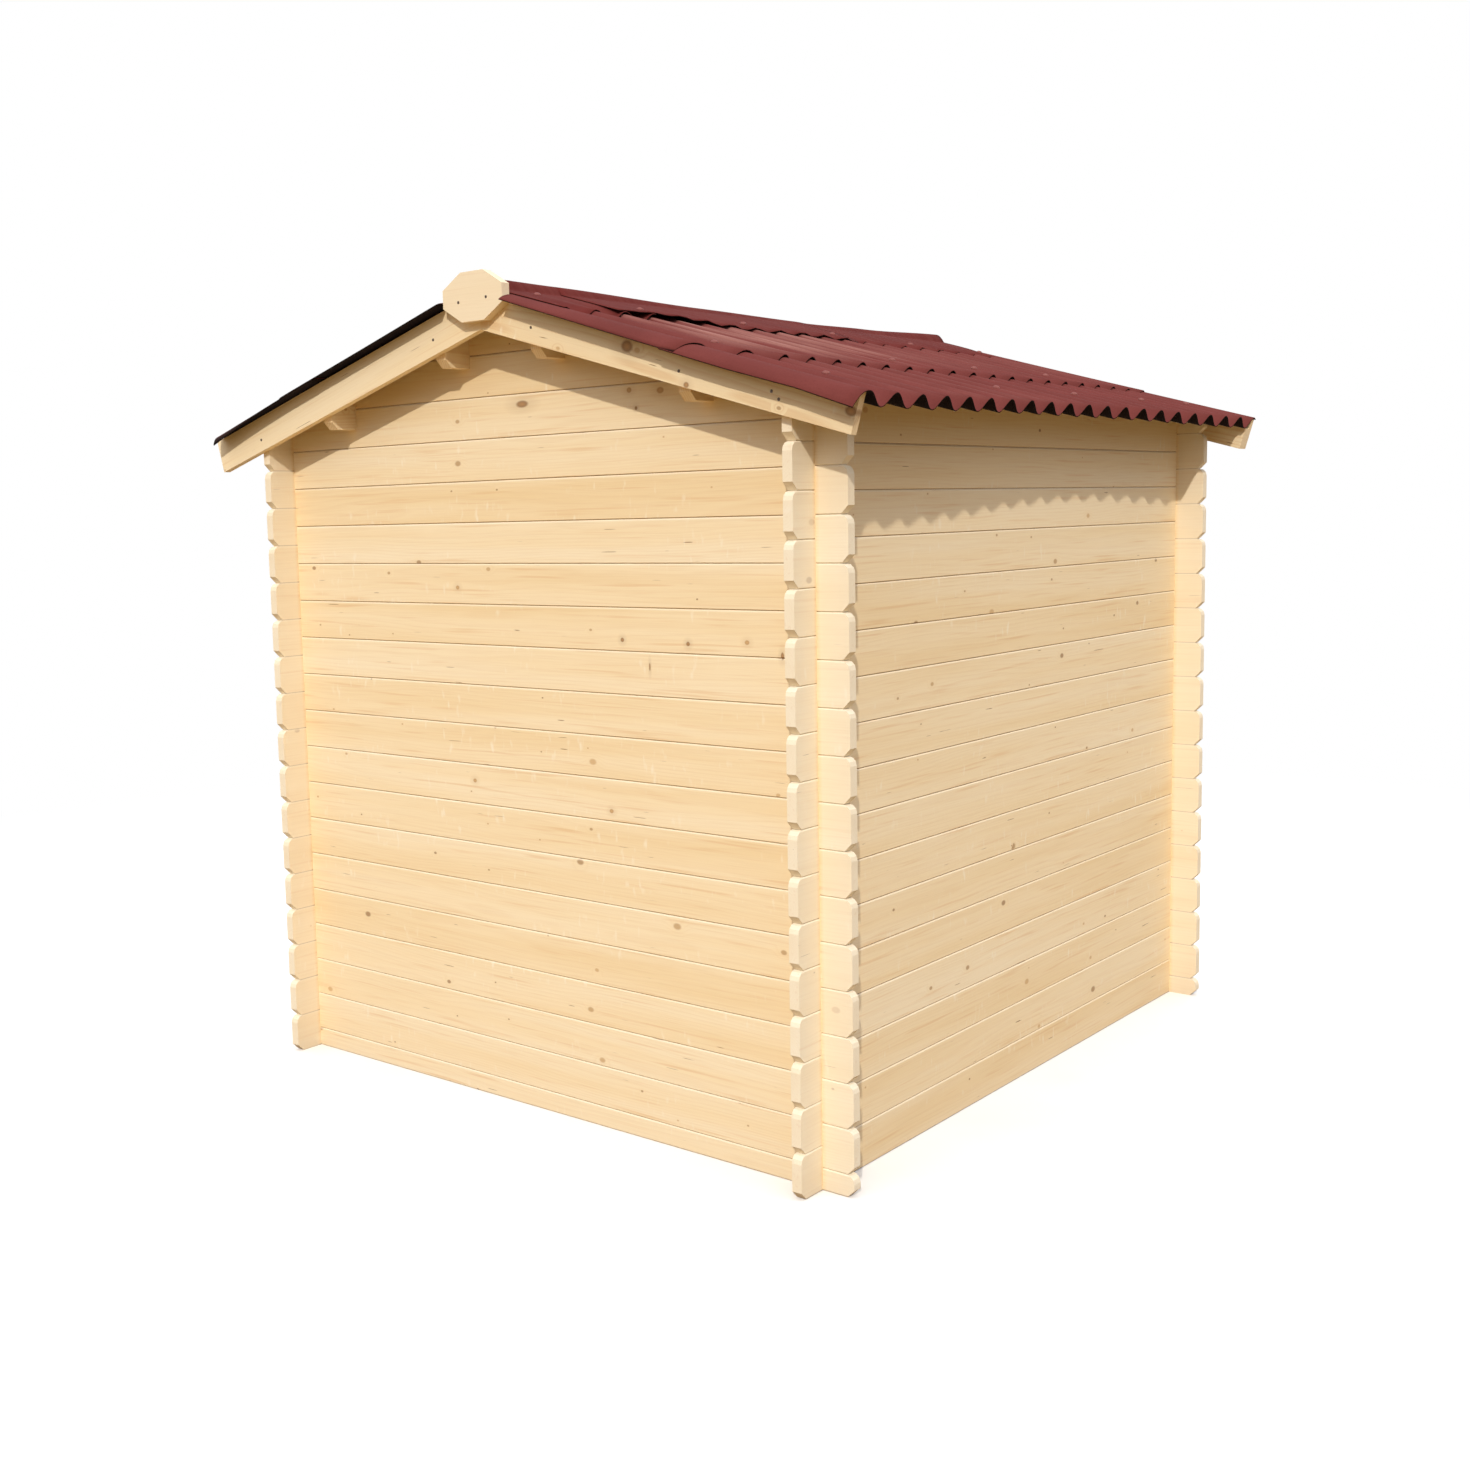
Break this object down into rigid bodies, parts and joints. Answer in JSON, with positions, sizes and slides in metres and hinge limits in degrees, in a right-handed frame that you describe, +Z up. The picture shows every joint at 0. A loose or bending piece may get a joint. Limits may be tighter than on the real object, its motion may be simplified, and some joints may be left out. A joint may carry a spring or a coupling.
{
  "type": "garden shed",
  "caption": "Small gabled garden shed of interlocking spruce logs with notched corners, a corrugated red roof, bargeboards and a boarded door in one gable.",
  "frame": {"origin": "centre of the shed's footprint on the ground", "axes": "+Z up, -Y towards the blank gable that the picture shows, +X towards the blank side wall that the picture shows"},
  "size_m": [2.4012, 2.4842, 2.3297],
  "materials": {
    "spruce_logs": "planed, unpainted, knotty",
    "spruce_beams": "planed, unpainted",
    "spruce_boards": "planed, unpainted",
    "spruce_joinery": "planed, unpainted",
    "red_bitumen_sheet": "matt dark red fibre and bitumen",
    "zinc_plated_steel": "dull zinc plating"
  },
  "bodies": {
    "root": {"back_apex_board": "spruce_boards", "back_left_bargeboard": "spruce_boards", "back_ridge_cap": "red_bitumen_sheet", "back_right_bargeboard": "spruce_boards", "back_wall_even_logs": "spruce_logs", "back_wall_odd_logs": "spruce_logs", "door_braces": "spruce_joinery", "door_handle": "zinc_plated_steel", "door_head": "spruce_joinery", "door_leaf": "spruce_joinery", "door_ledges": "spruce_joinery", "door_left_jamb": "spruce_joinery", "door_right_jamb": "spruce_joinery", "door_sill": "spruce_joinery", "front_left_bargeboard": "spruce_boards", "front_ridge_cap": "red_bitumen_sheet", "front_right_bargeboard": "spruce_boards", "front_wall_even_logs": "spruce_logs", "front_wall_odd_logs": "spruce_logs", "left_lower_purlin": "spruce_beams", "left_lower_roof_sheet": "red_bitumen_sheet", "left_upper_purlin": "spruce_beams", "left_upper_roof_sheet": "red_bitumen_sheet", "left_wall_even_logs": "spruce_logs", "left_wall_odd_logs": "spruce_logs", "lower_door_hinge": "zinc_plated_steel", "middle_ridge_cap": "red_bitumen_sheet", "right_lower_purlin": "spruce_beams", "right_lower_roof_sheet": "red_bitumen_sheet", "right_upper_purlin": "spruce_beams", "right_upper_roof_sheet": "red_bitumen_sheet", "right_wall_even_logs": "spruce_logs", "right_wall_odd_logs": "spruce_logs", "upper_door_hinge": "zinc_plated_steel"}
  },
  "joints": []
}
